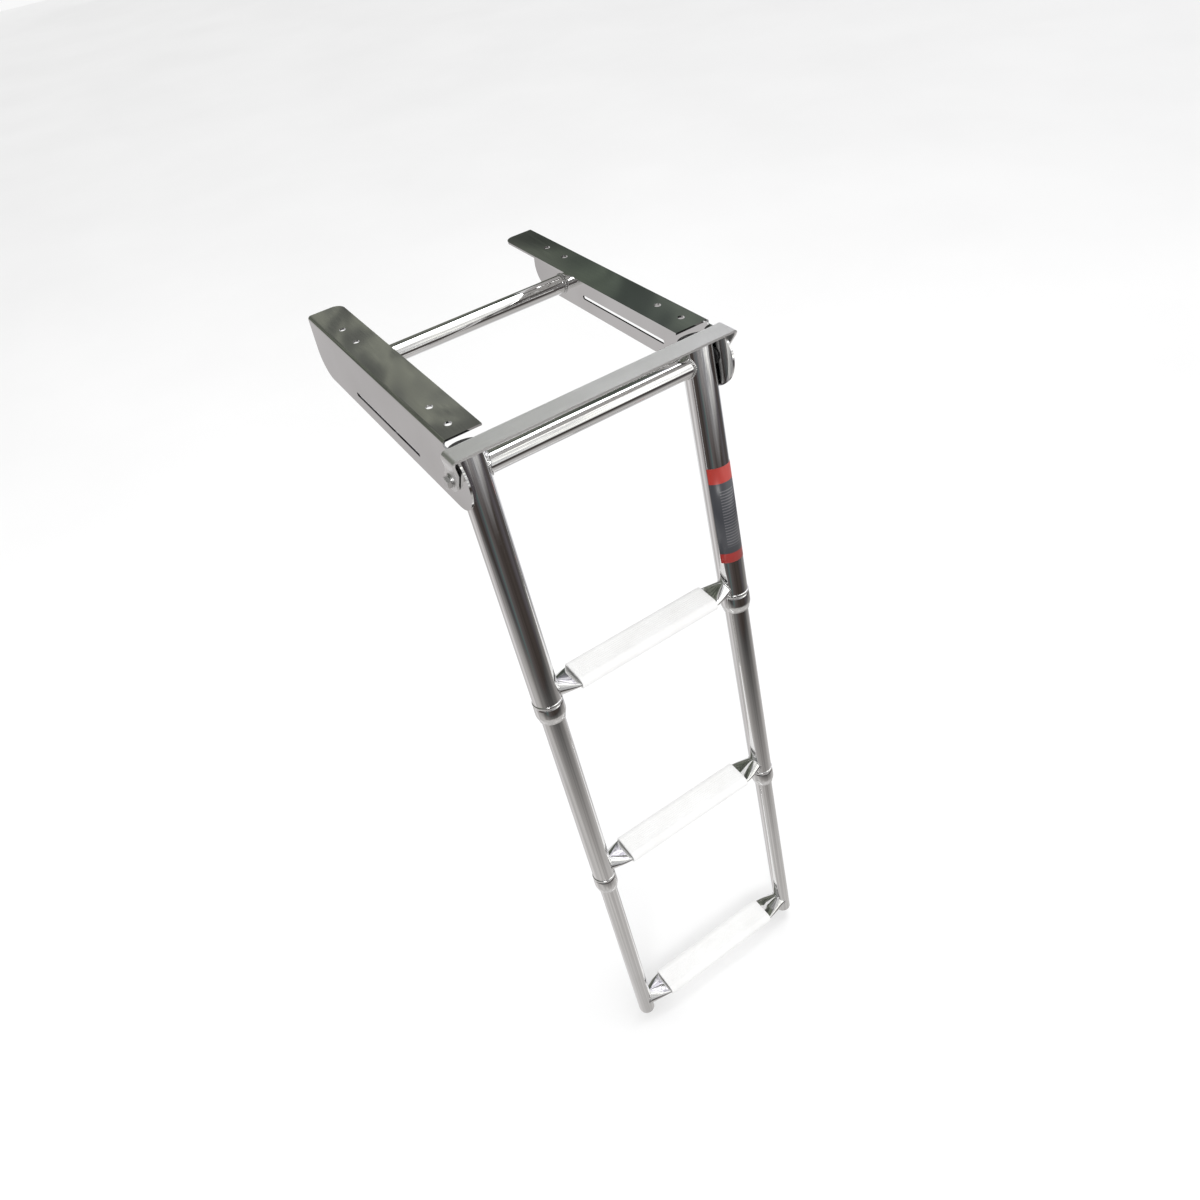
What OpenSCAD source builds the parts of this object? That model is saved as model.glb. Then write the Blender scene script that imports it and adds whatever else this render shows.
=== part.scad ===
// Boat boarding ladder that bolts under a swim platform.
// The frame sits at the centre of the mounting holes, on top of the flanges:
// X runs along the steps, Y runs inboard along the rails, Z is up.
// The ladder hangs from the outboard (-Y) end of the rails.

/* [Rails] */
// Distance between the outer faces of the two rails
frame_w = 350; // [320:1:420]
// Length of the mounting flanges
flange_len = 373; // [360:1:420]
// Width of each mounting flange
flange_w = 47.7; // [40:0.1:60]
// Height of the side walls
wall_h = 78; // [78:1:90]
// Thickness of the rail sheet
sheet = 2.5; // [2:0.1:3]
// Outside radius of the bend between flange and wall
bend_r = 4.5; // [4:0.5:6]
// Radius of the lower inboard corner of each wall
wall_corner_r = 32; // [20:1:40]
// Radius of the inner inboard corner of each flange
flange_corner_r = 14; // [6:1:20]
// Distance from the outboard flange edge to the first hole
front_margin = 24; // [15:1:40]

/* [Mounting holes] */
// Distance between the hole rows of the two flanges
hole_row_gap = 309; // [290:1:330]
// Distance between the outer holes of a flange
outer_hole_gap = 280; // [260:1:300]
// Distance between the inner holes of a flange
inner_hole_gap = 195; // [120:1:220]
// Diameter of a mounting hole
hole_d = 8.5; // [5:0.1:10]

/* [Strap slots] */
// Length of the long slot in each wall
slot_len = 175; // [60:1:200]
// Height of the slot
slot_h = 5.5; // [4.5:0.1:8]
// Depth of the slot's centre line below the flange
slot_depth = 59; // [52:1:64]

/* [Pivot] */
// How far outboard of the flange edge the pivot sits
pivot_out = 10; // [6:1:20]
// Depth of the pivot axis below the flange
pivot_depth = 42; // [40:1:46]
// Lean of the hanging ladder away from vertical
lean = 15.5; // [5:0.5:20]
// Diameter of the pivot bolts
bolt_d = 8; // [6:0.5:8.5]

/* [Ladder tubes] */
// Distance between the centre lines of the two side tubes
tube_gap = 304.8; // [300:0.1:305]
// Outside diameter of the upper tubes
upper_d = 38.1; // [38:0.1:38.2]
// Outside diameter of the middle tubes
middle_d = 31.75; // [31.7:0.05:31.8]
// Outside diameter of the lower tubes
lower_d = 25.4; // [25.3:0.05:25.5]
// Wall thickness of all tubes
tube_t = 1.5; // [1.4:0.1:1.6]
// Height of the upper tubes above the pivot
tube_rise = 26.5; // [24:0.5:27]
// Distance from the pivot to the top of the upper collars
upper_len = 316.5; // [300:0.5:330]
// Distance from the pivot to the top of the middle collars
middle_len = 653.4; // [640:0.1:660]
// Distance from the pivot to the bottom of the lower tubes
lower_len = 1001.4; // [990:0.1:1010]
// Height of a collar
collar_h = 30; // [24:0.5:32]
// How much larger a collar's radius is than its tube's
collar_step = 1.3; // [0.5:0.1:1.4]

/* [Steps] */
// Distance from the pivot down to the first step
step_1_at = 308.5; // [300:0.1:310]
// Distance from the pivot down to the second step
step_2_at = 640.4; // [630:0.1:642]
// Distance from the pivot down to the third step
step_3_at = 978.4; // [970:0.1:985]
// Diameter of the round ends of a step
step_d = 25.4; // [20:0.1:26]
// Width of the flattened middle of a step
step_w = 38; // [34:1:39]
// Thickness of the flattened middle of a step
step_t = 8; // [8:0.5:12]
// Length of the plastic tread on a step
tread_len = 217; // [180:1:230]
// Width of the plastic tread
tread_w = 43; // [42:1:46]
// Thickness of the plastic tread
tread_h = 18; // [14:1:20]

/* [Cross members] */
// Diameter of the rear cross tube and of the top cross tube
cross_d = 25.4; // [22:0.1:26]
// Depth of the rear cross tube below the flange
rear_depth = 57; // [50:1:60]
// Width of the flat bar over the tube tops
bar_w = 25.4; // [20:0.1:30]
// Thickness of the flat bar
bar_t = 3; // [2.5:0.1:3.5]
// Overall length of the flat bar
bar_len = 368; // [364:1:372]

/* [Hidden] */
$fn = 96;
cut = 1;

// Places along the rails
front_y = -outer_hole_gap / 2 - front_margin;
back_y = front_y + flange_len;
wall_x = frame_w / 2;
flange_x = wall_x - flange_w;
pivot_y = front_y - pivot_out;
pivot_z = -pivot_depth;
nose_r = wall_h - pivot_depth;
rear_y = outer_hole_gap / 2;

// Tube radii and places along the ladder, measured down from the pivot
tube_x = tube_gap / 2;
upper_r = upper_d / 2;
middle_r = middle_d / 2;
lower_r = lower_d / 2;
upper_bore = upper_r - tube_t;
middle_bore = middle_r - tube_t;
lower_bore = lower_r - tube_t;
run_fit = 0.05;
stop_gap = 0.2;
bearing_rise = 12;
guide_h = 15;
middle_top = upper_len - bearing_rise - guide_h - stop_gap;
lower_top = middle_len - bearing_rise - guide_h - stop_gap;
collar_lip = 2.5;
collar_taper = 7;

// The pivot stack, measured outwards along X
bolt_r = bolt_d / 2;
bush_r = bolt_r + 2;
bush_flange_r = 10;
bush_flange_t = 1;
ear_x = wall_x + bush_flange_t + 0.1;
washer_t = 1.5;
washer_r = 8.5;
head_x = ear_x + bar_t + washer_t;
head_h = 5.3;
head_across = 13;
hex_ratio = 2 / sqrt(3);
side_washer_r = 11;
wall_gap = 0.1;
barrel_r = 7;
bolt_end_x = tube_x - 4;

// The bar over the tube tops
bar_top = -2.6;
bar_back_y = pivot_y - 2;
bar_front_y = bar_back_y - bar_w;
ear_r = bar_w / 2;
ear_half = 0.96 * ear_r;
ear_lean = atan((pivot_y - bar_back_y + ear_r) / (bar_top - pivot_z));
ear_knee_z = pivot_z + ear_r + 1;
ear_shoulder_z = bar_top - 8;
bar_bend_r = 5;

// Caps and steps
cap_t = 3;
cap_over = 0.55;
cap_plug = 14;
cap_dimple_r = 2;
foot_t = 3;
weld_r = 1.5;
weld_t = 2.5;
flare_end_x = tube_x - 4;
flare_slice = 0.5;
flare_step = 0.3;
flare_root = 6;
label_r = upper_r + 0.2;
label_top = 128;
label_len = 136;
label_half_angle = 69;

steel = [0.72, 0.72, 0.73];
satin_steel = [0.62, 0.62, 0.66];
black_nylon = [0.06, 0.06, 0.07];
white_nylon = [0.93, 0.93, 0.92];

// Puts the children in the ladder's own frame: origin on the pivot axis,
// Z up along the tubes.
module on_ladder() {
    translate([0, pivot_y, pivot_z])
        rotate([-lean, 0, 0])
            children();
}

// A ring or tube standing on the ladder's axis from one depth to another
module ring(side, top, bottom, outer, inner) {
    translate([side * tube_x, 0, -bottom])
        difference() {
            cylinder(r = outer, h = bottom - top);
            translate([0, 0, -cut])
                cylinder(r = inner, h = bottom - top + 2 * cut);
        }
}

// A cylinder along X, from one X to another
module bar_x(x_from, x_to, r) {
    translate([x_from, 0, 0])
        rotate([0, 90, 0])
            cylinder(r = r, h = x_to - x_from);
}

// Puts the children on the left and on the right
module both_sides() {
    for (side = [0, 1])
        mirror([side, 0, 0])
            children();
}

// Puts the children on the pivot axis, on both sides
module at_pivots() {
    both_sides()
        translate([0, pivot_y, pivot_z])
            children();
}

// Section of a rail across its length: flange, bend and wall
module rail_profile() {
    translate([flange_x, -sheet])
        square([flange_w - bend_r, sheet]);
    translate([wall_x - sheet, -wall_h])
        square([sheet, wall_h - bend_r]);
    translate([wall_x - bend_r, -bend_r])
        intersection() {
            difference() {
                circle(r = bend_r);
                circle(r = bend_r - sheet);
            }
            square([bend_r, bend_r]);
        }
}

// What is cut from a square corner to leave a quarter round of radius r
module corner_cut(r, h) {
    difference() {
        translate([0, 0, -cut])
            cube([r + cut, r + cut, h + 2 * cut]);
        translate([0, 0, -2 * cut])
            cylinder(r = r, h = h + 4 * cut);
    }
}

// The round outboard end of a wall, around the pivot
module nose() {
    translate([wall_x - sheet, pivot_y, pivot_z])
        rotate([0, 90, 0])
            cylinder(r = nose_r, h = sheet);
    translate([wall_x - sheet, pivot_y, -wall_h])
        cube([sheet, pivot_out, 2 * nose_r]);
}

module rail() {
    difference() {
        union() {
            translate([0, back_y, 0])
                rotate([90, 0, 0])
                    linear_extrude(flange_len)
                        rail_profile();
            nose();
        }
        for (half = [outer_hole_gap / 2, inner_hole_gap / 2], end = [-1, 1])
            translate([hole_row_gap / 2, end * half, -sheet - cut])
                cylinder(d = hole_d, h = sheet + 2 * cut);
        // strap slot
        for (end = [-1, 1])
            translate([wall_x - sheet - cut, end * (slot_len - slot_h) / 2, -slot_depth])
                rotate([0, 90, 0])
                    cylinder(d = slot_h, h = sheet + 2 * cut);
        translate([wall_x - sheet - cut, -(slot_len - slot_h) / 2, -slot_depth - slot_h / 2])
            cube([sheet + 2 * cut, slot_len - slot_h, slot_h]);
        // pivot hole
        translate([wall_x - sheet - cut, pivot_y, pivot_z])
            rotate([0, 90, 0])
                cylinder(r = bush_r, h = sheet + 2 * cut);
        // lower inboard corner of the wall
        translate([wall_x - sheet, back_y - wall_corner_r, wall_corner_r - wall_h])
            rotate([0, 90, 0])
                corner_cut(wall_corner_r, sheet);
        // inner inboard corner of the flange
        translate([flange_x + flange_corner_r, back_y - flange_corner_r, -sheet])
            rotate([0, 0, 90])
                corner_cut(flange_corner_r, sheet);
    }
}

module rail_left() {
    color(steel)
        mirror([1, 0, 0])
            rail();
}

module rail_right() {
    color(steel)
        rail();
}

// Fixed spacer between the rails, with its weld rings
module rear_cross_tube() {
    half = wall_x - sheet;
    color(steel)
        translate([0, rear_y, -rear_depth])
            difference() {
                union() {
                    bar_x(-half, half, cross_d / 2);
                    bar_x(-half, weld_t - half, cross_d / 2 + weld_r);
                    bar_x(half - weld_t, half, cross_d / 2 + weld_r);
                }
                bar_x(-half - cut, half + cut, cross_d / 2 - tube_t);
            }
}

// Flanged nylon bushes in the walls, in which the pivot bolts turn
module pivot_bushes() {
    color(black_nylon)
        at_pivots()
            difference() {
                union() {
                    bar_x(wall_x - sheet, wall_x, bush_r);
                    bar_x(wall_x, wall_x + bush_flange_t, bush_flange_r);
                }
                bar_x(wall_x - sheet - cut, wall_x + bush_flange_t + cut, bolt_r + run_fit);
            }
}

module upper_tube(side) {
    color(steel)
        on_ladder()
            difference() {
                ring(side, -tube_rise, upper_len, upper_r, upper_bore);
                mirror([side < 0 ? 1 : 0, 0, 0])
                    bar_x(tube_x, tube_x + upper_r + cut, bolt_r);
            }
}

// Tube that telescopes out of the one above
module sliding_tube(side, top, bottom, tube_r) {
    color(steel)
        on_ladder()
            ring(side, top, bottom, tube_r, tube_r - tube_t);
}

// Plug that closes an upper tube, with a small dimple in its top
module top_cap(side) {
    color(black_nylon)
        on_ladder()
            translate([side * tube_x, 0, tube_rise])
                difference() {
                    union() {
                        translate([0, 0, -cap_plug])
                            cylinder(r = upper_bore, h = cap_plug);
                        cylinder(r = upper_r + cap_over, h = cap_t - 1);
                        translate([0, 0, cap_t - 1])
                            cylinder(r1 = upper_r + cap_over, r2 = upper_r - 0.5, h = 1);
                    }
                    translate([0, 0, -cap_plug - cut])
                        cylinder(r = upper_bore - 2, h = cap_plug);
                    translate([0, 0, cap_t - 1.5])
                        cylinder(r = cap_dimple_r, h = 1.5 + cut);
                }
}

// Threaded barrels across the inside of the upper tubes
module pivot_barrels() {
    color(steel)
        on_ladder()
            both_sides()
                difference() {
                    intersection() {
                        bar_x(tube_x - upper_r, tube_x + upper_r, barrel_r);
                        translate([tube_x, 0, -2 * barrel_r])
                            cylinder(r = upper_bore, h = 4 * barrel_r);
                    }
                    bar_x(bolt_end_x, tube_x + upper_r, bolt_r);
                }
}

module pivot_bolts() {
    color(steel)
        at_pivots() {
            bar_x(bolt_end_x, head_x, bolt_r);
            translate([head_x, 0, 0])
                rotate([0, 90, 0])
                    cylinder(d = head_across * hex_ratio, h = head_h, $fn = 6);
        }
}

module bolt_washers() {
    color(steel)
        at_pivots()
            difference() {
                bar_x(ear_x + bar_t, head_x, washer_r);
                bar_x(ear_x + bar_t - cut, head_x + cut, bolt_r);
            }
}

// Thin nylon washers between the upper tubes and the walls
module side_washers() {
    color(black_nylon)
        at_pivots()
            difference() {
                bar_x(tube_x + upper_r, wall_x - sheet - wall_gap, side_washer_r);
                bar_x(tube_x, wall_x, bolt_r);
            }
}

// Cross tube welded between the upper tubes, on the pivot axis
module top_cross_tube() {
    color(steel)
        on_ladder()
            difference() {
                bar_x(-tube_x, tube_x, cross_d / 2);
                bar_x(-tube_x - cut, tube_x + cut, cross_d / 2 - tube_t);
                for (side = [-1, 1])
                    translate([side * tube_x, 0, -cross_d])
                        cylinder(r = upper_r, h = 2 * cross_d);
            }
}

// Front view of the flat bar: the top and its two bent ears
module bar_profile() {
    half = bar_len / 2;
    low = pivot_z - ear_r;
    difference() {
        polygon([
            [-half, bar_top], [half, bar_top],
            [half, ear_shoulder_z], [ear_x + bar_t, ear_knee_z], [ear_x + bar_t, low],
            [ear_x, low], [ear_x, ear_knee_z], [half - bar_t, ear_shoulder_z],
            [half - bar_t, bar_top - bar_t], [bar_t - half, bar_top - bar_t],
            [bar_t - half, ear_shoulder_z], [-ear_x, ear_knee_z], [-ear_x, low],
            [-ear_x - bar_t, low], [-ear_x - bar_t, ear_knee_z], [-half, ear_shoulder_z]
        ]);
        for (side = [-1, 1])
            translate([side * (half - bar_bend_r), bar_top - bar_bend_r])
                difference() {
                    translate([side < 0 ? -bar_bend_r - cut : 0, 0])
                        square([bar_bend_r + cut, bar_bend_r + cut]);
                    circle(r = bar_bend_r);
                }
    }
}

// Side view of the flat bar: the ears lean back to the pivot
module ear_outline() {
    polygon([
        [bar_front_y, bar_top], [bar_back_y, bar_top], [bar_back_y, bar_top - bar_t],
        [pivot_y + ear_half * cos(ear_lean), pivot_z + ear_half * sin(ear_lean)],
        [pivot_y - ear_half * cos(ear_lean), pivot_z - ear_half * sin(ear_lean)],
        [bar_front_y, bar_top - bar_t]
    ]);
}

module grab_bar() {
    color(satin_steel)
        difference() {
            intersection() {
                translate([0, pivot_y + bar_w, 0])
                    rotate([90, 0, 0])
                        linear_extrude(3 * bar_w)
                            bar_profile();
                union() {
                    translate([-bar_len, 0, 0])
                        rotate([90, 0, 90])
                            linear_extrude(2 * bar_len)
                                ear_outline();
                    translate([0, pivot_y, pivot_z])
                        bar_x(-bar_len, bar_len, ear_r);
                }
            }
            translate([0, pivot_y, pivot_z])
                bar_x(-2 * bar_len, 2 * bar_len, bolt_r);
        }
}

// Steel collar under a tube: same bore as the tube, tapered bottom with a lip
module collar(side, top, tube_r, next_r) {
    outer = tube_r + collar_step;
    color(steel)
        on_ladder()
            translate([side * tube_x, 0, -top - collar_h])
                difference() {
                    union() {
                        cylinder(r1 = next_r + 2.2, r2 = outer, h = collar_taper);
                        translate([0, 0, collar_taper])
                            cylinder(r = outer, h = collar_h - collar_taper);
                    }
                    translate([0, 0, collar_lip])
                        cylinder(r = tube_r - tube_t, h = collar_h);
                    translate([0, 0, -cut])
                        cylinder(r = next_r + 0.4, h = collar_h);
                }
}

// Nylon bearing in a collar and the end of its tube. The guide above rests on it.
module bearing(side, top, bore_r, next_r) {
    color(black_nylon)
        on_ladder()
            ring(side, top - bearing_rise, top + collar_h - collar_lip, bore_r, next_r + run_fit);
}

// Nylon guide pressed on the top of a sliding tube
module guide(side, top, bore_r, tube_r) {
    color(black_nylon)
        on_ladder()
            ring(side, top, top + guide_h, bore_r - run_fit, tube_r);
}

// Flattened middle of a step, level when the ladder hangs
module oval(w, t, len) {
    rotate([lean, 0, 0])
        translate([-len / 2, 0, 0])
            rotate([90, 0, 90])
                linear_extrude(len) {
                    square([w - t, t], center = true);
                    for (end = [-1, 1])
                        translate([end * (w - t) / 2, 0])
                            circle(d = t);
                }
}

// Welded end of a step: flattened at the tread, round at the side tube
module step_end(side) {
    w = step_w + 2 * flare_step;
    t = step_t + 2 * flare_step;
    hull() {
        translate([side * (tread_len + flare_slice) / 2, 0, 0])
            oval(w, t, flare_slice, $fn = 32);
        translate([side * flare_end_x, 0, 0])
            rotate([0, 90, 0])
                cylinder(d = step_d, h = flare_slice, center = true, $fn = 32);
    }
}

// Step tube: pressed flat under the tread, hollow at its ends, and welded to the
// side tubes
module step_bar(at, tube_r, collar_top) {
    color(steel)
        on_ladder()
            difference() {
                translate([0, 0, -at]) {
                    oval(step_w, step_t, tread_len + flare_slice);
                    step_end(-1);
                    step_end(1);
                }
                translate([0, 0, -at])
                    both_sides()
                        translate([tread_len / 2 + flare_root, 0, 0])
                            rotate([0, 90, 0])
                                cylinder(
                                    r1 = tube_t, r2 = step_d / 2 - tube_t,
                                    h = flare_end_x - tread_len / 2 - flare_root + cut
                                );
                for (side = [-1, 1]) {
                    translate([side * tube_x, 0, -at - step_d])
                        cylinder(r = tube_r, h = 2 * step_d);
                    translate([side * tube_x, 0, -collar_top - step_d])
                        cylinder(r = tube_r + collar_step, h = step_d);
                }
            }
}

module tread(at) {
    color(white_nylon)
        on_ladder()
            translate([0, 0, -at])
                difference() {
                    oval(tread_w, tread_h, tread_len);
                    oval(step_w, step_t, tread_len + 2 * cut);
                }
}

// Thin sticker round the front of the right upper tube
module rating_label() {
    color([0.75, 0.75, 0.78])
        on_ladder()
            translate([tube_x, 0, -label_top - label_len])
                rotate([0, 0, -90 - label_half_angle])
                    rotate_extrude(angle = 2 * label_half_angle)
                        translate([upper_r, 0])
                            square([label_r - upper_r, label_len]);
}

// Rounded steel plug welded into the bottom end of a lower tube
module foot_plug(side) {
    color(steel)
        on_ladder()
            translate([side * tube_x, 0, -lower_len]) {
                cylinder(r = lower_bore, h = cap_plug);
                translate([0, 0, -foot_t])
                    cylinder(r1 = lower_r - 1.5, r2 = lower_r, h = foot_t);
            }
}

rail_left();
rail_right();
rear_cross_tube();
pivot_bushes();
upper_tube(-1);  // upper_tube_left
upper_tube(1);  // upper_tube_right
top_cap(-1);  // top_cap_left
top_cap(1);  // top_cap_right
pivot_barrels();
pivot_bolts();
bolt_washers();
side_washers();
top_cross_tube();
grab_bar();
collar(-1, upper_len, upper_r, middle_r);  // upper_collar_left
collar(1, upper_len, upper_r, middle_r);  // upper_collar_right
bearing(-1, upper_len, upper_bore, middle_r);  // upper_bearing_left
bearing(1, upper_len, upper_bore, middle_r);  // upper_bearing_right
step_bar(step_1_at, upper_r, upper_len);  // upper_step
tread(step_1_at);  // upper_tread
rating_label();
sliding_tube(-1, middle_top, middle_len, middle_r);  // middle_tube_left
sliding_tube(1, middle_top, middle_len, middle_r);  // middle_tube_right
guide(-1, middle_top, upper_bore, middle_r);  // middle_guide_left
guide(1, middle_top, upper_bore, middle_r);  // middle_guide_right
collar(-1, middle_len, middle_r, lower_r);  // middle_collar_left
collar(1, middle_len, middle_r, lower_r);  // middle_collar_right
bearing(-1, middle_len, middle_bore, lower_r);  // middle_bearing_left
bearing(1, middle_len, middle_bore, lower_r);  // middle_bearing_right
step_bar(step_2_at, middle_r, middle_len);  // middle_step
tread(step_2_at);  // middle_tread
sliding_tube(-1, lower_top, lower_len, lower_r);  // lower_tube_left
sliding_tube(1, lower_top, lower_len, lower_r);  // lower_tube_right
guide(-1, lower_top, middle_bore, lower_r);  // lower_guide_left
guide(1, lower_top, middle_bore, lower_r);  // lower_guide_right
foot_plug(-1);  // foot_plug_left
foot_plug(1);  // foot_plug_right
step_bar(step_3_at, lower_r, lower_len + step_d);  // lower_step
tread(step_3_at);  // lower_tread
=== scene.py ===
"""Looks of the boat boarding ladder: finishes, detailed pieces, studio and camera."""
import math

import bpy
from mathutils import Matrix, Quaternion, Vector


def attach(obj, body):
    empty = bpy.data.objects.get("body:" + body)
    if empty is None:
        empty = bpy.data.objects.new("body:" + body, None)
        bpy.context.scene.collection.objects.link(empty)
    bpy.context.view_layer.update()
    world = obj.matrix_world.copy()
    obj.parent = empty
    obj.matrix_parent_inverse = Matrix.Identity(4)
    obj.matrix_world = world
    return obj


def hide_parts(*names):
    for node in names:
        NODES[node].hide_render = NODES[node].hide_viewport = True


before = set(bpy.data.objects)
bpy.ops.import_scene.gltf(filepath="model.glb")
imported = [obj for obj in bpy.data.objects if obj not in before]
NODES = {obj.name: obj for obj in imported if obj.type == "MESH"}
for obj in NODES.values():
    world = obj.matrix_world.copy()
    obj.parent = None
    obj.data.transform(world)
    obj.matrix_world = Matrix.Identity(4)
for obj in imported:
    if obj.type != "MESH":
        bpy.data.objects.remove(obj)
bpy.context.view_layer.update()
MM = 0.001

# ---------------------------------------------------------------- sizes, as in part.scad
LEAN = math.radians(15.5)
PIVOT = Vector((0, -0.174, -0.042))
TUBE_X = 152.4 * MM
UPPER_R, MIDDLE_R, LOWER_R = 19.05 * MM, 15.875 * MM, 12.7 * MM
TUBE_T = 1.5 * MM
RISE = 26.5 * MM
UPPER_LEN, MIDDLE_LEN, LOWER_LEN = 316.5 * MM, 653.4 * MM, 1001.4 * MM
COLLAR_H = 30 * MM
COLLAR_STEP = 1.3 * MM
STEPS = {"upper": 308.5 * MM, "middle": 640.4 * MM, "lower": 978.4 * MM}
STEP_R = 12.7 * MM
STEP_W, STEP_T = 38 * MM, 8 * MM
# the step tube looks flatter beside its tread than in the CAD
STEP_LIP = 5 * MM
TREAD_HALF = 108.5 * MM
TREAD_W, TREAD_H = 43 * MM, 18 * MM
REAR = Vector((0, 0.140, -0.057))
WALL_X = 175 * MM
SHEET = 2.5 * MM
SLOT_DEPTH, SLOT_H = 59 * MM, 5.5 * MM
EAR_X = 176.1 * MM
BAR_T = 3 * MM
WASHER_T = 1.5 * MM
HEAD_X = EAR_X + BAR_T + WASHER_T
HEAD_H = 5.3 * MM
HEAD_ACROSS = 13 * MM
BOLT_R = 4 * MM
CROSS_R = 12.7 * MM
TINY = 0.0001
SIDES = {"left": -1, "right": 1}

LADDER = Matrix.Translation(PIVOT) @ Matrix.Rotation(-LEAN, 4, "X")


# ---------------------------------------------------------------- materials
def new_material(name):
    mat = bpy.data.materials.new(name)
    mat.use_nodes = True
    tree = mat.node_tree
    tree.nodes.clear()
    out = tree.nodes.new("ShaderNodeOutputMaterial")
    shader = tree.nodes.new("ShaderNodeBsdfPrincipled")
    tree.links.new(shader.outputs[0], out.inputs[0])
    return mat, tree, shader


def mapped(tree, scale):
    coord = tree.nodes.new("ShaderNodeTexCoord")
    mapping = tree.nodes.new("ShaderNodeMapping")
    mapping.inputs["Scale"].default_value = scale
    tree.links.new(coord.outputs["Object"], mapping.inputs["Vector"])
    return mapping.outputs["Vector"]


def noise(tree, vector, scale, detail=3.0, rough=0.5):
    node = tree.nodes.new("ShaderNodeTexNoise")
    node.inputs["Scale"].default_value = scale
    node.inputs["Detail"].default_value = detail
    node.inputs["Roughness"].default_value = rough
    tree.links.new(vector, node.inputs["Vector"])
    return node.outputs["Fac"]


def ramp(tree, value, stops):
    """Colours between (position, colour) stops; the stops are in order."""
    node = tree.nodes.new("ShaderNodeValToRGB")
    first, last = node.color_ramp.elements
    first.position, first.color = stops[0]
    last.position, last.color = stops[-1]
    for pos, col in stops[1:-1]:
        node.color_ramp.elements.new(pos).color = col
    tree.links.new(value, node.inputs["Fac"])
    return node.outputs["Color"]


def steps_ramp(tree, value, stops):
    """As ramp, but each colour holds until the next stop."""
    colour = ramp(tree, value, stops)
    colour.node.color_ramp.interpolation = "CONSTANT"
    return colour


def math_node(tree, kind, *values):
    """A Math node; each value is a number or another node's output."""
    node = tree.nodes.new("ShaderNodeMath")
    node.operation = kind
    for i, value in enumerate(values):
        if isinstance(value, (int, float)):
            node.inputs[i].default_value = value
        else:
            tree.links.new(value, node.inputs[i])
    return node.outputs[0]


def mixed(tree, first, second, share, blend="MIX"):
    """A colour mix; share and second are each a constant or another node's output."""
    node = tree.nodes.new("ShaderNodeMix")
    node.data_type = "RGBA"
    node.blend_type = blend
    tree.links.new(first, node.inputs["A"])
    for value, name in ((share, "Factor"), (second, "B")):
        if isinstance(value, (int, float, tuple)):
            node.inputs[name].default_value = value
        else:
            tree.links.new(value, node.inputs[name])
    return node.outputs["Result"]


def coordinates(tree, kind):
    """X, Y and Z outputs of a texture coordinate."""
    coord = tree.nodes.new("ShaderNodeTexCoord")
    split = tree.nodes.new("ShaderNodeSeparateXYZ")
    tree.links.new(coord.outputs[kind], split.inputs[0])
    return split.outputs


def remap(tree, value, low, high):
    node = tree.nodes.new("ShaderNodeMapRange")
    node.inputs["From Min"].default_value = 0.3
    node.inputs["From Max"].default_value = 0.7
    node.inputs["To Min"].default_value = low
    node.inputs["To Max"].default_value = high
    tree.links.new(value, node.inputs["Value"])
    return node.outputs["Result"]


def bump(tree, shader, height, strength, distance):
    node = tree.nodes.new("ShaderNodeBump")
    node.inputs["Strength"].default_value = strength
    node.inputs["Distance"].default_value = distance
    tree.links.new(height, node.inputs["Height"])
    tree.links.new(node.outputs["Normal"], shader.inputs["Normal"])


def grey(v, tint=(1, 1, 1)):
    return (v * tint[0], v * tint[1], v * tint[2], 1)


def steel(name, shade, rough_low, rough_high, stretch, bump_strength):
    """Polished or brushed stainless steel; stretch is the scale of its polishing lines."""
    mat, tree, shader = new_material(name)
    shader.inputs["Metallic"].default_value = 1.0
    soft = noise(tree, mapped(tree, (1, 1, 1)), 9, 4, 0.55)
    tree.links.new(ramp(tree, soft, [(0.3, grey(shade * 0.93, (1, 0.995, 0.985))), (0.7, grey(shade))]),
                   shader.inputs["Base Color"])
    lines = noise(tree, mapped(tree, stretch), 1.0, 5, 0.6)
    tree.links.new(remap(tree, lines, rough_low, rough_high), shader.inputs["Roughness"])
    bump(tree, shader, lines, bump_strength, 0.00004)
    return mat


def plastic(name, dark, light, rough_low, rough_high, grain, bump_strength):
    mat, tree, shader = new_material(name)
    vector = mapped(tree, (1, 1, 1))
    cloud = noise(tree, vector, 24, 4, 0.6)
    tree.links.new(ramp(tree, cloud, [(0.3, dark), (0.7, light)]), shader.inputs["Base Color"])
    fine = noise(tree, vector, grain, 3, 0.6)
    tree.links.new(remap(tree, fine, rough_low, rough_high), shader.inputs["Roughness"])
    bump(tree, shader, fine, bump_strength, 0.0001)
    return mat


POLISHED = steel("polished stainless", 0.86, 0.035, 0.075, (30, 30, 420), 0.05)
CROSS_STEEL = steel("polished cross tube", 0.86, 0.04, 0.08, (420, 30, 30), 0.03)
SHEET_STEEL = steel("polished sheet", 0.80, 0.03, 0.075, (300, 20, 20), 0.05)


def paint_slot_shade(mat):
    """Painted shade: darkens the faces inside the strap slots to near black, within the sheet's thickness,
    standing in for the shade that falls in the slots.
    """
    tree = mat.node_tree
    shader = next(n for n in tree.nodes if n.type == "BSDF_PRINCIPLED")
    at = coordinates(tree, "Object")
    across = math_node(tree, "ABSOLUTE", at["X"])
    down = math_node(tree, "ABSOLUTE", at["Z"])
    inside = SHEET / 2 - 0.05 * MM
    in_sheet = math_node(tree, "COMPARE", across, WALL_X - SHEET / 2, inside)
    in_slot = math_node(tree, "COMPARE", down, SLOT_DEPTH, SLOT_H / 2 + 0.2 * MM)
    slot_shade_mask = math_node(tree, "MULTIPLY", in_sheet, in_slot)
    polished = shader.inputs["Base Color"].links[0].from_socket
    # painted shade: the slot faces are mixed to near black where the slots lie in shade
    tree.links.new(mixed(tree, polished, (0.03, 0.03, 0.032, 1), slot_shade_mask), shader.inputs["Base Color"])


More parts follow.
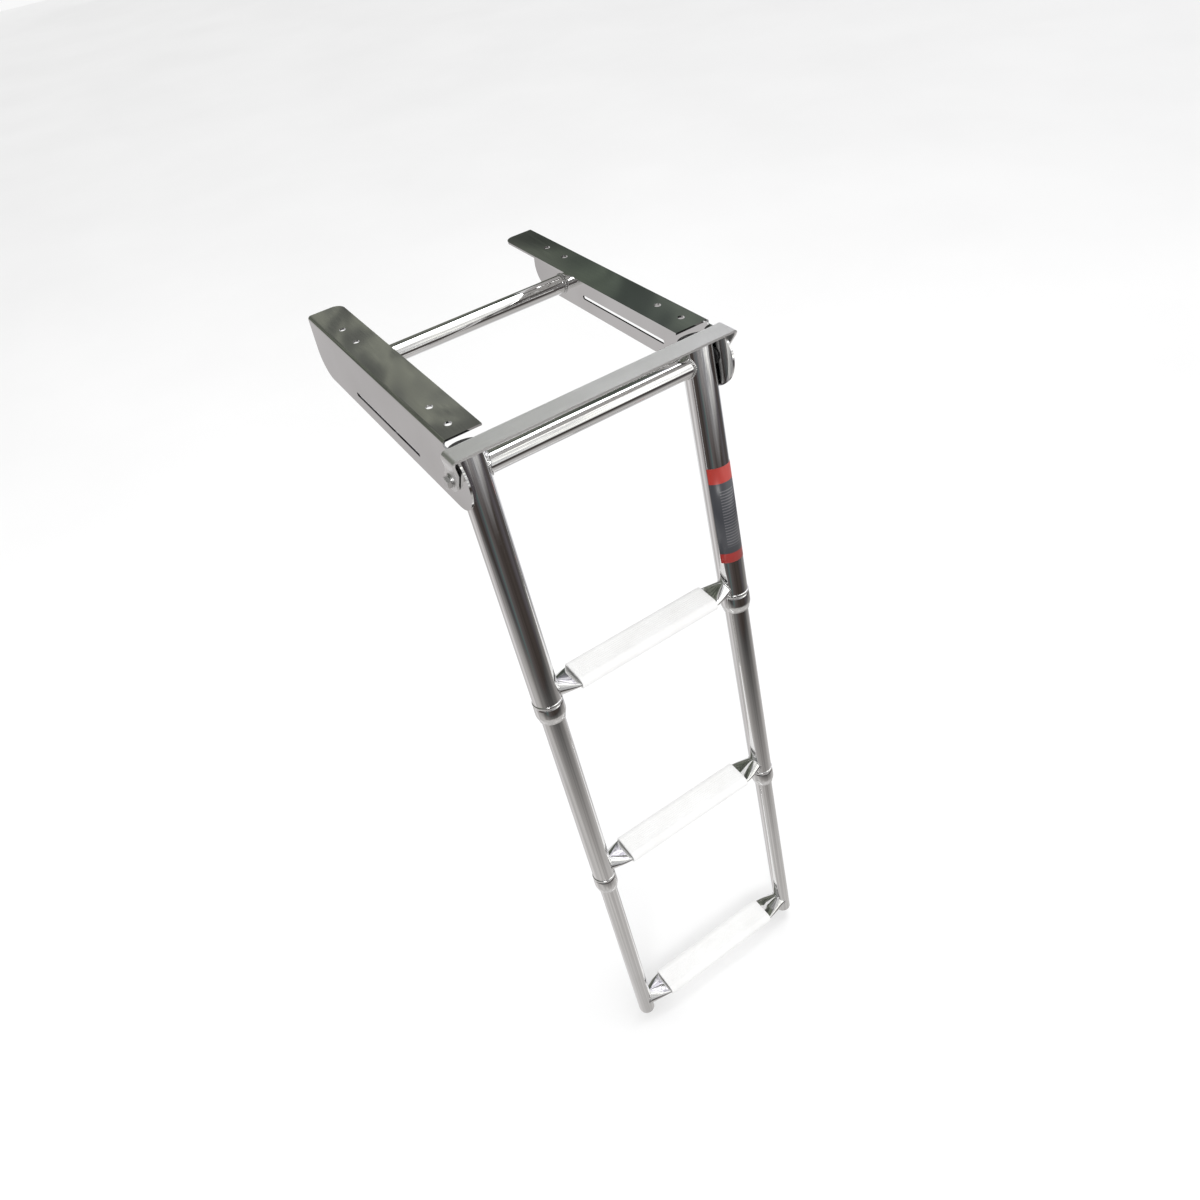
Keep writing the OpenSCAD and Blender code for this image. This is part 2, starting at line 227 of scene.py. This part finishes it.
paint_slot_shade(SHEET_STEEL)
WELD = steel("weld bead", 0.74, 0.14, 0.3, (400, 400, 400), 0.3)
SATIN = steel("brushed stainless", 0.95, 0.38, 0.5, (25, 2600, 2600), 0.22)
FASTENER = steel("turned stainless", 0.76, 0.12, 0.26, (900, 300, 300), 0.12)
NYLON = plastic("black nylon", grey(0.018), grey(0.032, (1, 1, 1.04)), 0.42, 0.6, 900, 0.18)
TREAD_WHITE = plastic("white tread", grey(0.84, (1, 0.995, 0.985)), grey(0.9, (1, 1, 0.995)),
                      0.38, 0.52, 700, 0.12)


def label_material():
    """Red band, dark panel with pale rules, red band, along the sticker's length (V)."""
    mat, tree, shader = new_material("printed film")
    at = coordinates(tree, "UV")
    off, on = grey(0), grey(1)
    lower_red, panel, upper_red = (0.36, 0.02, 0.015, 1), (0.045, 0.047, 0.055, 1), (0.42, 0.03, 0.02, 1)
    # the last colour is met only at the very top edge
    bands = steps_ramp(tree, at["Y"], [(0, lower_red), (0.10, panel), (0.84, upper_red), (1, lower_red)])
    rules = math_node(tree, "FRACT", math_node(tree, "MULTIPLY", at["Y"], 34.0))
    line = steps_ramp(tree, rules, [(0, off), (0.66, on)])
    across = steps_ramp(tree, at["X"], [(0, off), (0.26, on), (0.74, off)])
    along = steps_ramp(tree, at["Y"], [(0, off), (0.17, on), (0.78, off)])
    mask = math_node(tree, "MULTIPLY", line, math_node(tree, "MULTIPLY", across, along))
    tree.links.new(mixed(tree, bands, (0.14, 0.14, 0.15, 1), mask), shader.inputs["Base Color"])
    shader.inputs["Roughness"].default_value = 0.3
    shader.inputs["Specular IOR Level"].default_value = 0.6
    bump(tree, shader, noise(tree, mapped(tree, (1, 1, 1)), 500, 2), 0.05, 0.0001)
    return mat


# ---------------------------------------------------------------- mesh helpers
def make(name, verts, faces, mat, smooth=True, transform=None, uvs=None):
    mesh = bpy.data.meshes.new(name)
    if transform is not None:
        verts = [transform @ Vector(v) for v in verts]
    mesh.from_pydata([tuple(v) for v in verts], [], faces)
    mesh.update()
    if uvs is not None:
        layer = mesh.uv_layers.new(name="UVMap")
        for loop in mesh.loops:
            layer.data[loop.index].uv = uvs[loop.vertex_index]
    obj = bpy.data.objects.new(name, mesh)
    bpy.context.scene.collection.objects.link(obj)
    obj.data.materials.append(mat)
    for poly in mesh.polygons:
        poly.use_smooth = smooth
    return obj


def shell(rings, closed_loop=False):
    """Verts and faces through rings of equal length; closed_loop joins last to first instead of capping."""
    count = len(rings[0])
    verts = [v for ring in rings for v in ring]
    faces = []
    last = len(rings) if closed_loop else len(rings) - 1
    for i in range(last):
        a, b = i * count, ((i + 1) % len(rings)) * count
        for j in range(count):
            k = (j + 1) % count
            faces.append((a + j, a + k, b + k, b + j))
    if not closed_loop:
        faces.append(tuple(reversed(range(count))))
        end = (len(rings) - 1) * count
        faces.append(tuple(range(end, end + count)))
    return verts, faces


def fillet(profile, radius, steps=4):
    """Rounds the corners of a closed (r, z) profile; radius is one number or one per corner."""
    points = []
    count = len(profile)
    for i, corner in enumerate(profile):
        here = Vector(corner)
        r = radius[i] if isinstance(radius, (list, tuple)) else radius
        a = Vector(profile[i - 1]) - here
        b = Vector(profile[(i + 1) % count]) - here
        r = min(r, a.length * 0.45, b.length * 0.45)
        if r <= 0:
            points.append(here)
            continue
        start, end = here + a.normalized() * r, here + b.normalized() * r
        for k in range(steps + 1):
            t = k / steps
            points.append(start.lerp(here, t).lerp(here.lerp(end, t), t))
    return points


def lathe(name, profile, mat, transform, segments=96):
    """A closed (r, z) profile turned about the local Z axis."""
    rings = []
    for i in range(segments):
        a = 2 * math.pi * i / segments
        rings.append([(p[0] * math.cos(a), p[0] * math.sin(a), p[1]) for p in profile])
    verts, faces = shell(rings, closed_loop=True)
    return make(name, verts, faces, mat, transform=transform)


def bead(name, path, centre, radius, mat, ripples=34, sides=10):
    """A rippled weld bead along a closed path round centre."""
    count = len(path)
    rings = []
    for i in range(count):
        p = Vector(path[i])
        tangent = (Vector(path[(i + 1) % count]) - Vector(path[i - 1])).normalized()
        normal = p - centre
        normal = (normal - tangent * normal.dot(tangent)).normalized()
        other = tangent.cross(normal)
        r = radius * (1 + 0.13 * math.sin(2 * math.pi * ripples * i / count))
        rings.append([p + (normal * math.cos(a) + other * math.sin(a)) * r
                      for a in (2 * math.pi * k / sides for k in range(sides))])
    verts, faces = shell(rings, closed_loop=True)
    return make(name, verts, faces, mat)


def put(obj, body, slot, *nodes):
    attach(obj, body)
    if nodes:
        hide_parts(*nodes)
    return obj


def smooth_step(t):
    t = min(max(t, 0), 1)
    return t * t * (3 - 2 * t)


# ---------------------------------------------------------------- CAD nodes that stay as they are
KEEP = {
    "rail_left": SHEET_STEEL, "rail_right": SHEET_STEEL, "grab_bar": SATIN,
    "pivot_bushes": NYLON, "side_washers": NYLON, "pivot_barrels": FASTENER,
    "upper_tube_left": POLISHED, "upper_tube_right": POLISHED,
    "middle_tube_left": POLISHED, "middle_tube_right": POLISHED,
    "lower_tube_left": POLISHED, "lower_tube_right": POLISHED,
    "upper_bearing_left": NYLON, "upper_bearing_right": NYLON,
    "middle_bearing_left": NYLON, "middle_bearing_right": NYLON,
    "middle_guide_left": NYLON, "middle_guide_right": NYLON,
    "lower_guide_left": NYLON, "lower_guide_right": NYLON,
}
BEVELS = {"rail_left": 0.5, "rail_right": 0.5, "grab_bar": 0.7}
for name, mat in KEEP.items():
    node = NODES[name]
    for material_slot in node.material_slots:
        material_slot.material = mat
    if name in BEVELS:
        mod = node.modifiers.new("edge", "BEVEL")
        mod.width = BEVELS[name] * MM
        mod.segments = 2
        mod.limit_method = "ANGLE"
        mod.angle_limit = math.radians(50)
        mod.harden_normals = False


# ---------------------------------------------------------------- tube ends: caps, collars, plugs
def on_tube(side, along):
    """Local frame with its origin on a side tube's axis, along metres below the pivot, Z up the tube."""
    return LADDER @ Matrix.Translation((side * TUBE_X, 0, -along))


def top_cap(side_name, side):
    """Black cap with a dimple in its top; TINY keeps its profile just off the axis."""
    over = UPPER_R + 0.55 * MM
    bore = UPPER_R - TUBE_T
    profile = [
        (TINY, -12 * MM), (bore - 2 * MM, -12 * MM), (bore - 2 * MM, -14 * MM), (bore, -14 * MM), (bore, 0),
        (over, 0), (over, 2.6 * MM), (2.6 * MM, 3 * MM), (2.0 * MM, 2.2 * MM), (1.8 * MM, 1.5 * MM),
        (TINY, 1.5 * MM),
    ]
    radii = [0, 0, 0, 0.3 * MM, 0, 0.4 * MM, 1.6 * MM, 0.4 * MM, 0.1 * MM, 0.2 * MM, 0]
    obj = lathe("top_cap_" + side_name, fillet(profile, radii), NYLON, on_tube(side, -RISE))
    put(obj, "upper_section", "black_nylon", "top_cap_" + side_name)


def collar(section, side_name, side, top, tube_r, next_r):
    """Collar with a raised bead at its top, a slight bulge and a tapered lip."""
    outer = tube_r + COLLAR_STEP
    bore = tube_r - TUBE_T
    z = -COLLAR_H
    profile = [
        (bore, 0), (bore, z + 2.5 * MM), (next_r + 0.4 * MM, z + 2.5 * MM), (next_r + 0.4 * MM, z),
        (next_r + 2.0 * MM, z), (next_r + 2.15 * MM, z + 2.2 * MM), (outer - 0.9 * MM, z + 6.2 * MM),
        (outer, z + 10 * MM), (outer, z + 17 * MM), (outer - 0.35 * MM, -6 * MM),
        (outer - 0.95 * MM, -4.1 * MM), (outer - 0.3 * MM, -3.2 * MM), (outer - 0.25 * MM, -0.7 * MM),
        (outer - 1.1 * MM, 0),
    ]
    radii = [0, 0, 0.2 * MM, 0.3 * MM, 0.6 * MM, 0.8 * MM, 2.0 * MM, 2.5 * MM, 3 * MM, 1.2 * MM,
             0.5 * MM, 0.9 * MM, 0.9 * MM, 0.1 * MM]
    name = section + "_collar_" + side_name
    obj = lathe(name, fillet(profile, radii), POLISHED, on_tube(side, top), 128)
    put(obj, section + "_section", "polished_steel", name)


def foot_plug(side_name, side):
    """Rounded steel end of a lower tube."""
    bore = LOWER_R - TUBE_T
    profile = [(TINY, 14 * MM), (bore, 14 * MM), (bore, 0), (LOWER_R, 0), (LOWER_R - 0.4 * MM, -1.6 * MM),
               (LOWER_R - 3.4 * MM, -3 * MM), (TINY, -3 * MM)]
    radii = [0, 0.4 * MM, 0, 0.4 * MM, 1.2 * MM, 2.4 * MM, 0]
    obj = lathe("foot_plug_" + side_name, fillet(profile, radii), POLISHED, on_tube(side, LOWER_LEN))
    put(obj, "lower_section", "polished_steel", "foot_plug_" + side_name)


for side_name, side in SIDES.items():
    top_cap(side_name, side)
    collar("upper", side_name, side, UPPER_LEN, UPPER_R, MIDDLE_R)
    collar("middle", side_name, side, MIDDLE_LEN, MIDDLE_R, LOWER_R)
    foot_plug(side_name, side)


# ---------------------------------------------------------------- steps, treads and their welds
def stadium(a, b, count=64):
    """Outline with half width a and half thickness b; a circle when they are equal."""
    points = []
    for i in range(count):
        t = 2 * math.pi * i / count
        c, s = math.cos(t), math.sin(t)
        flat = max(a - b, 0)
        y = b * c + (flat if c > 1e-9 else -flat if c < -1e-9 else 0)
        points.append((y, b * s))
    return points


def tube_hit(y, z, tube_r):
    """How far inboard of a side tube's centre line its surface is, level with an offset (y, z)."""
    u = y * math.cos(LEAN) - z * math.sin(LEAN)
    return math.sqrt(max(tube_r ** 2 - u ** 2, 0))


def step(section, along, tube_r):
    """Step tube, nearly flat at its tread and round at the side tubes, with its two weld beads."""
    centre = LADDER @ Vector((0, 0, -along))
    a0, b0 = STEP_W / 2, STEP_LIP / 2
    a1, b1 = STEP_R - 0.25 * MM, STEP_R - 0.25 * MM
    rows = 22
    end = TUBE_X - tube_r + 0.3 * MM
    rings = []
    for side in (-1, 1):
        part = []
        for i in range(rows + 1):
            t = i / rows
            w = 0.85 * t + 0.15 * smooth_step(t)
            a, b = a0 + (a1 - a0) * w, b0 + (b1 - b0) * w
            ring = []
            for y, z in stadium(a, b):
                x_end = TUBE_X - tube_hit(y, z, tube_r) + 0.3 * MM
                x = TREAD_HALF + (x_end - TREAD_HALF) * t
                ring.append((side * x, centre.y + y, centre.z + z))
            part.append(ring)
        rings = part[::-1] + rings if side < 0 else rings + part
    verts, faces = shell(rings)
    obj = make(section + "_step", verts, faces, POLISHED)
    put(obj, section + "_section", "polished_steel", section + "_step")
    for side_name, side in SIDES.items():
        path = []
        for i in range(136):
            t = 2 * math.pi * i / 136
            y, z = a1 * math.cos(t), b1 * math.sin(t)
            path.append(Vector((side * (TUBE_X - tube_hit(y, z, tube_r)), centre.y + y, centre.z + z)))
        ring = bead("%s_step_weld_%s" % (section, side_name), path,
                    Vector((side * end, centre.y, centre.z)), 0.95 * MM, WELD)
        put(ring, section + "_section", "polished_steel")


def tread(section, along):
    """White sleeve with shallow ribs along its top and bottom and rounded ends."""
    centre = LADDER @ Vector((0, 0, -along))
    count = 320
    rib_pitch, rib_depth = 3.0 * MM, 0.35 * MM

    def outline(a, b):
        points = []
        flat = a - b
        per = 2 * math.pi * b + 4 * flat
        for i in range(count):
            s = (i + 0.5) / count * per
            if s < 2 * flat:
                y, z, ny, nz = flat - s, b, 0, 1
            elif s < 2 * flat + math.pi * b:
                t = (s - 2 * flat) / b + math.pi / 2
                ny, nz = math.cos(t), math.sin(t)
                y, z = -flat + b * ny, b * nz
            elif s < 4 * flat + math.pi * b:
                y, z, ny, nz = -flat + (s - 2 * flat - math.pi * b), -b, 0, -1
            else:
                t = (s - 4 * flat - math.pi * b) / b - math.pi / 2
                ny, nz = math.cos(t), math.sin(t)
                y, z = flat + b * ny, b * nz
            points.append((y, z, ny, nz))
        return points

    rings = []
    rows = [
        (-TREAD_HALF, 1.0 * MM, 0), (-TREAD_HALF + 0.3 * MM, 0.3 * MM, 0), (-TREAD_HALF + 1.0 * MM, 0, 0),
        (-TREAD_HALF + 5 * MM, 0, 0), (-TREAD_HALF + 6 * MM, 0, 1),
    ]
    rows = rows + [(-x, inset, ribs) for x, inset, ribs in reversed(rows)]
    for x, inset, ribs in rows:
        ring = []
        for y, z, ny, nz in outline(TREAD_W / 2 - inset, TREAD_H / 2 - inset):
            dip = 0.0
            if ribs and abs(nz) > 0.5:
                dip = rib_depth * (0.5 - 0.5 * math.cos(2 * math.pi * y / rib_pitch))
                dip *= smooth_step((TREAD_W / 2 - 8 * MM - abs(y)) / (2 * MM))
            ring.append((x, centre.y + y - ny * dip, centre.z + z - nz * dip))
        rings.append(ring)
    bore = outline(STEP_W / 2 + 0.35 * MM, STEP_T / 2 + 0.35 * MM)
    inner = [[(x, centre.y + y, centre.z + z) for y, z, _, _ in bore] for x in (TREAD_HALF, -TREAD_HALF)]
    verts, faces = shell(rings + inner, closed_loop=True)
    obj = make(section + "_tread", verts, faces, TREAD_WHITE)
    put(obj, section + "_section", "white_nylon", section + "_tread")


for section, tube_r in (("upper", UPPER_R), ("middle", MIDDLE_R), ("lower", LOWER_R)):
    step(section, STEPS[section], tube_r)
    tread(section, STEPS[section])


# ---------------------------------------------------------------- cross tubes
def tube_x(name, r, centre, mat, ends, count=96):
    """Tube along X; ends(y, z) gives its half length at that offset from its axis."""
    def ring(x_sign, radius, t):
        points = []
        for i in range(count):
            a = 2 * math.pi * i / count
            y, z = radius * math.cos(a), radius * math.sin(a)
            x = ends(y, z) * t
            points.append((x_sign * x, centre.y + y, centre.z + z))
        return points
    inner_r = r - TUBE_T
    rings = [ring(-1, r, 1), ring(-1, r, 0.97), ring(1, r, 0), ring(1, r, 0.97), ring(1, r, 1),
             ring(1, inner_r, 1), ring(-1, inner_r, 1)]
    verts, faces = shell(rings, closed_loop=True)
    return make(name, verts, faces, mat)


rear_half = WALL_X - SHEET
rear = tube_x("rear_cross_tube", CROSS_R, REAR, CROSS_STEEL, lambda y, z: rear_half)
put(rear, "frame", "polished_steel", "rear_cross_tube")
for side_name, side in SIDES.items():
    path = []
    for i in range(160):
        t = 2 * math.pi * i / 160
        y, z = 13.1 * MM * math.cos(t), 13.1 * MM * math.sin(t)
        path.append(Vector((side * (rear_half - 0.9 * MM), REAR.y + y, REAR.z + z)))
    weld_centre = Vector((side * rear_half, REAR.y, REAR.z))
    ring = bead("rear_weld_" + side_name, path, weld_centre, 1.05 * MM, WELD, 38)
    put(ring, "frame", "polished_steel")

front = tube_x("top_cross_tube", CROSS_R, PIVOT, CROSS_STEEL,
               lambda y, z: TUBE_X - tube_hit(y, z, UPPER_R) + 0.2 * MM)
put(front, "upper_section", "polished_steel", "top_cross_tube")
for side_name, side in SIDES.items():
    path = []
    for i in range(160):
        t = 2 * math.pi * i / 160
        y, z = 12.9 * MM * math.cos(t), 12.9 * MM * math.sin(t)
        path.append(Vector((side * (TUBE_X - tube_hit(y, z, UPPER_R) - 0.2 * MM), PIVOT.y + y, PIVOT.z + z)))
    weld_centre = Vector((side * (TUBE_X - UPPER_R), PIVOT.y, PIVOT.z))
    ring = bead("top_weld_" + side_name, path, weld_centre, 1.3 * MM, WELD, 38)
    put(ring, "upper_section", "polished_steel")


# ---------------------------------------------------------------- pivot bolts and washers
def bolt(side):
    """Verts and faces of a hex bolt along X with a chamfered head and a washer face."""
    count = 96
    flat_r = HEAD_ACROSS / 2

    def hexagon(limit):
        ring = []
        for i in range(count):
            a = 2 * math.pi * i / count
            local = (a + math.pi / 6) % (math.pi / 3) - math.pi / 6
            r = min(flat_r / math.cos(local), limit)
            ring.append((r * math.cos(a), r * math.sin(a)))
        return ring

    def circle(r):
        return [(r * math.cos(a), r * math.sin(a)) for a in (2 * math.pi * i / count for i in range(count))]

    big = flat_r / math.cos(math.pi / 6)
    outline = [
        (TUBE_X - 4 * MM, circle(BOLT_R - 0.5 * MM)), (TUBE_X - 3.5 * MM, circle(BOLT_R)),
        (HEAD_X, circle(BOLT_R)), (HEAD_X, circle(flat_r * 0.95)),
        (HEAD_X + 0.4 * MM, circle(flat_r * 0.95)), (HEAD_X + 0.41 * MM, hexagon(big)),
        (HEAD_X + HEAD_H - 1.0 * MM, hexagon(big)), (HEAD_X + HEAD_H - 0.75 * MM, hexagon(big * 0.985)),
        (HEAD_X + HEAD_H - 0.4 * MM, hexagon(big * 0.955)),
        (HEAD_X + HEAD_H - 0.1 * MM, circle(flat_r * 0.97)),
        (HEAD_X + HEAD_H, circle(flat_r * 0.9)), (HEAD_X + HEAD_H, circle(flat_r * 0.5)),
    ]
    rings = [[(side * x, PIVOT.y + y, PIVOT.z + z) for y, z in ring] for x, ring in outline]
    if side < 0:
        rings = rings[::-1]
    return shell(rings)


def joined(parts):
    verts, faces = [], []
    for v, f in parts:
        base = len(verts)
        verts += v
        faces += [tuple(i + base for i in face) for face in f]
    return verts, faces


def washer_shell(side):
    x0, x1 = EAR_X + BAR_T, HEAD_X
    corners = [(BOLT_R, x0), (8.5 * MM, x0), (8.5 * MM, x1), (BOLT_R, x1)]
    profile = fillet(corners, [0, 0.3 * MM, 0.3 * MM, 0.1 * MM])
    rings = []
    for i in range(72):
        a = 2 * math.pi * i / 72
        rings.append([(side * x, PIVOT.y + r * math.cos(a), PIVOT.z + r * math.sin(a)) for r, x in profile])
    if side < 0:
        rings = rings[::-1]
    return shell(rings, closed_loop=True)


bolts = make("pivot_bolts", *joined([bolt(s) for s in SIDES.values()]), FASTENER, smooth=False)
put(bolts, "upper_section", "polished_steel", "pivot_bolts")
washers = make("bolt_washers", *joined([washer_shell(s) for s in SIDES.values()]), FASTENER)
put(washers, "upper_section", "polished_steel", "bolt_washers")


# ---------------------------------------------------------------- sticker
def label():
    top, length = 128 * MM, 136 * MM
    r_in, r_out = UPPER_R + 0.02 * MM, UPPER_R + 0.2 * MM
    half = math.radians(69)
    cols, rows = 48, 2
    verts, uvs = [], []
    for layer_r in (r_out, r_in):
        for j in range(rows + 1):
            for i in range(cols + 1):
                a = -math.pi / 2 - half + 2 * half * i / cols
                z = -top - length * (1 - j / rows)
                verts.append((TUBE_X + layer_r * math.cos(a), layer_r * math.sin(a), z))
                uvs.append((i / cols, j / rows))
    stride = cols + 1
    base = stride * (rows + 1)
    faces = []
    for j in range(rows):
        for i in range(cols):
            a = j * stride + i
            faces.append((a, a + 1, a + 1 + stride, a + stride))
            faces.append((base + a, base + a + stride, base + a + 1 + stride, base + a + 1))
    for i in range(cols):
        low, high = i, rows * stride + i
        faces.append((low, base + low, base + low + 1, low + 1))
        faces.append((high, high + 1, base + high + 1, base + high))
    for j in range(rows):
        left, right = j * stride, j * stride + cols
        faces.append((left, left + stride, base + left + stride, base + left))
        faces.append((right, base + right, base + right + stride, right + stride))
    obj = make("rating_label", verts, faces, label_material(), transform=LADDER, uvs=uvs)
    put(obj, "upper_section", "label_film", "rating_label")


label()


# ---------------------------------------------------------------- studio
def around(tree, turn, stops):
    """Colours round the room; the first stop's colour also closes the circle."""
    return ramp(tree, turn, [(pos, (*colour, 1)) for pos, colour in stops + [(1.0, stops[0][1])]])


def sky_material():
    """Studio walls as the steel sees them: bright low down at +Y and high up at +X, dim elsewhere."""
    mat = bpy.data.materials.new("studio walls")
    mat.use_nodes = True
    tree = mat.node_tree
    tree.nodes.clear()
    out = tree.nodes.new("ShaderNodeOutputMaterial")
    glow = tree.nodes.new("ShaderNodeEmission")
    tree.links.new(glow.outputs[0], out.inputs[0])
    at = coordinates(tree, "Object")

    # turn: 0 at -Y, growing through -X, +Y (0.5) and +X
    turn = math_node(tree, "ARCTAN2", math_node(tree, "MULTIPLY", at["X"], -1.0),
                     math_node(tree, "MULTIPLY", at["Y"], -1.0))
    turn = math_node(tree, "FRACT", math_node(tree, "ADD", math_node(tree, "DIVIDE", turn, 2 * math.pi), 1.0))
    height = math_node(tree, "DIVIDE", at["Z"], DOME_R)

    # low and high bands meet at a wavy line just below the level
    wave = noise(tree, mapped(tree, (0.12, 0.12, 0.3)), 1.0, 3, 0.5)
    sway = math_node(tree, "MULTIPLY", math_node(tree, "SUBTRACT", wave, 0.5), 0.10)
    is_high = tree.nodes.new("ShaderNodeMapRange")
    is_high.inputs["From Min"].default_value = -0.20
    is_high.inputs["From Max"].default_value = -0.06
    tree.links.new(math_node(tree, "ADD", height, sway), is_high.inputs["Value"])
    high_share = is_high.outputs["Result"]
    walls = mixed(tree, around(tree, turn, LOW_BANDS), around(tree, turn, HIGH_BANDS), high_share)

    # towards the ground everything gets lighter
    ground = ramp(tree, math_node(tree, "MULTIPLY", height, -1.0), [
        (0.36, grey(0.02)), (0.47, grey(0.20, (1, 0.96, 0.93))), (0.55, grey(0.34, (1, 0.96, 0.93))),
        (0.64, grey(0.56, (1, 0.97, 0.95))), (1.0, grey(0.66, (1, 0.98, 0.97)))])
    walls = mixed(tree, walls, ground, 1.0, "LIGHTEN")

    # soft cloudiness, and dim shapes on the high walls
    cloud = noise(tree, mapped(tree, (0.35, 0.35, 0.12)), 1.0, 3, 0.5)
    walls = mixed(tree, walls, ramp(tree, cloud, [(0.3, grey(0.72)), (0.7, grey(1.12))]), 1.0, "MULTIPLY")
    shapes = noise(tree, mapped(tree, (0.55, 0.55, 1.1)), 1.0, 2, 0.45)
    shapes.node.inputs["Distortion"].default_value = 1.6
    shade = ramp(tree, shapes, [(0.34, grey(0.55)), (0.50, grey(0.95)), (0.56, grey(1.9, (1, 1, 0.92))),
                                (0.66, grey(1.15))])
    tree.links.new(mixed(tree, walls, shade, high_share, "MULTIPLY"), glow.inputs["Color"])
    return mat


DOME_R = 13.0
WHITE = (0.95, 0.95, 0.96)
LOW_BANDS = [
    (0.00, (0.055, 0.045, 0.04)), (0.055, (0.09, 0.075, 0.07)), (0.10, (0.13, 0.12, 0.12)),
    (0.115, (0.08, 0.135, 0.125)), (0.13, (0.10, 0.10, 0.11)), (0.17, (0.06, 0.05, 0.045)),
    (0.25, (0.10, 0.08, 0.075)), (0.285, (0.55, 0.52, 0.52)), (0.33, (0.85, 0.83, 0.83)),
    (0.40, (0.62, 0.60, 0.60)), (0.455, (0.55, 0.53, 0.53)), (0.50, WHITE), (0.62, WHITE),
    (0.67, (0.88, 0.88, 0.9)), (0.715, (0.50, 0.50, 0.53)), (0.75, (0.14, 0.14, 0.155)),
    (0.80, (0.07, 0.06, 0.055)), (0.87, (0.11, 0.10, 0.11)), (0.93, (0.06, 0.05, 0.045)),
]
HIGH_BANDS = [
    (0.00, (0.42, 0.42, 0.44)), (0.06, (0.25, 0.24, 0.25)), (0.19, (0.30, 0.30, 0.31)),
    (0.30, (0.13, 0.14, 0.12)), (0.45, (0.11, 0.12, 0.10)), (0.52, (0.15, 0.155, 0.14)),
    (0.565, (0.14, 0.145, 0.13)), (0.595, (0.065, 0.078, 0.066)), (0.63, (0.09, 0.10, 0.095)),
    (0.655, (0.55, 0.54, 0.60)), (0.70, (1.15, 1.12, 1.25)), (0.80, (1.25, 1.25, 1.3)),
    (0.91, (1.2, 1.2, 1.2)), (0.955, (0.62, 0.62, 0.64)),
]


def dome():
    """Sphere round the scene that only the steel's reflections see."""
    columns, rows = 64, 32
    rings = []
    for i in range(rows + 1):
        a = math.pi * (i / rows - 0.5) * 0.9999  # stops just short of the poles
        rings.append([(DOME_R * math.cos(a) * math.cos(2 * math.pi * j / columns),
                       DOME_R * math.cos(a) * math.sin(2 * math.pi * j / columns), DOME_R * math.sin(a))
                      for j in range(columns)])
    verts, faces = shell(rings)
    obj = make("studio_walls", verts, faces, sky_material())
    obj.visible_camera = False
    obj.visible_diffuse = False
    obj.visible_shadow = False
    obj.visible_transmission = False
    obj.visible_volume_scatter = False


dome()

floor_mat, floor_tree, floor_shader = new_material("pale floor")
floor_shader.inputs["Roughness"].default_value = 0.9
floor_cloud = noise(floor_tree, mapped(floor_tree, (1, 1, 1)), 1.2, 3)
floor_tree.links.new(ramp(floor_tree, floor_cloud, [(0.3, grey(0.90)), (0.7, grey(0.93))]),
                     floor_shader.inputs["Base Color"])
FLOOR_Z = -1.03
FLOOR_HALF = 14
floor_corners = [(x * FLOOR_HALF, y * FLOOR_HALF, FLOOR_Z) for x, y in ((-1, -1), (1, -1), (1, 1), (-1, 1))]
floor = make("floor", floor_corners, [(0, 1, 2, 3)], floor_mat, smooth=False)
floor.visible_glossy = False

world = bpy.data.worlds.new("studio")
bpy.context.scene.world = world
world.use_nodes = True
world.node_tree.nodes["Background"].inputs["Color"].default_value = (1, 1, 1, 1)
world.node_tree.nodes["Background"].inputs["Strength"].default_value = 0.95


def area(name, location, target, size, power):
    data = bpy.data.lights.new(name, "AREA")
    data.shape = "RECTANGLE"
    data.size, data.size_y = size
    data.energy = power
    obj = bpy.data.objects.new(name, data)
    bpy.context.scene.collection.objects.link(obj)
    obj.location = location
    obj.rotation_mode = "QUATERNION"
    obj.rotation_quaternion = (Vector(target) - Vector(location)).to_track_quat("-Z", "Y")
    return obj


area("key", (-1.6, -2.2, 1.9), (0, -0.2, -0.3), (1.3, 0.9), 26)
area("top", (0.9, 0.4, 2.3), (0, -0.1, 0), (1.2, 1.2), 18)

camera_data = bpy.data.cameras.new("camera")
camera_data.sensor_width = 36
camera_data.lens = 24.768
camera_data.shift_x = 0.06966
camera_data.shift_y = 0.01144
camera_data.clip_start = 0.01
camera = bpy.data.objects.new("camera", camera_data)
bpy.context.scene.collection.objects.link(camera)
camera.location = (-0.4306, -0.8337, 0.4726)
camera.rotation_mode = "QUATERNION"
camera.rotation_quaternion = Quaternion((0.884148, 0.37241, -0.044067, -0.27866))
bpy.context.scene.camera = camera
bpy.context.scene.view_settings.view_transform = "Standard"
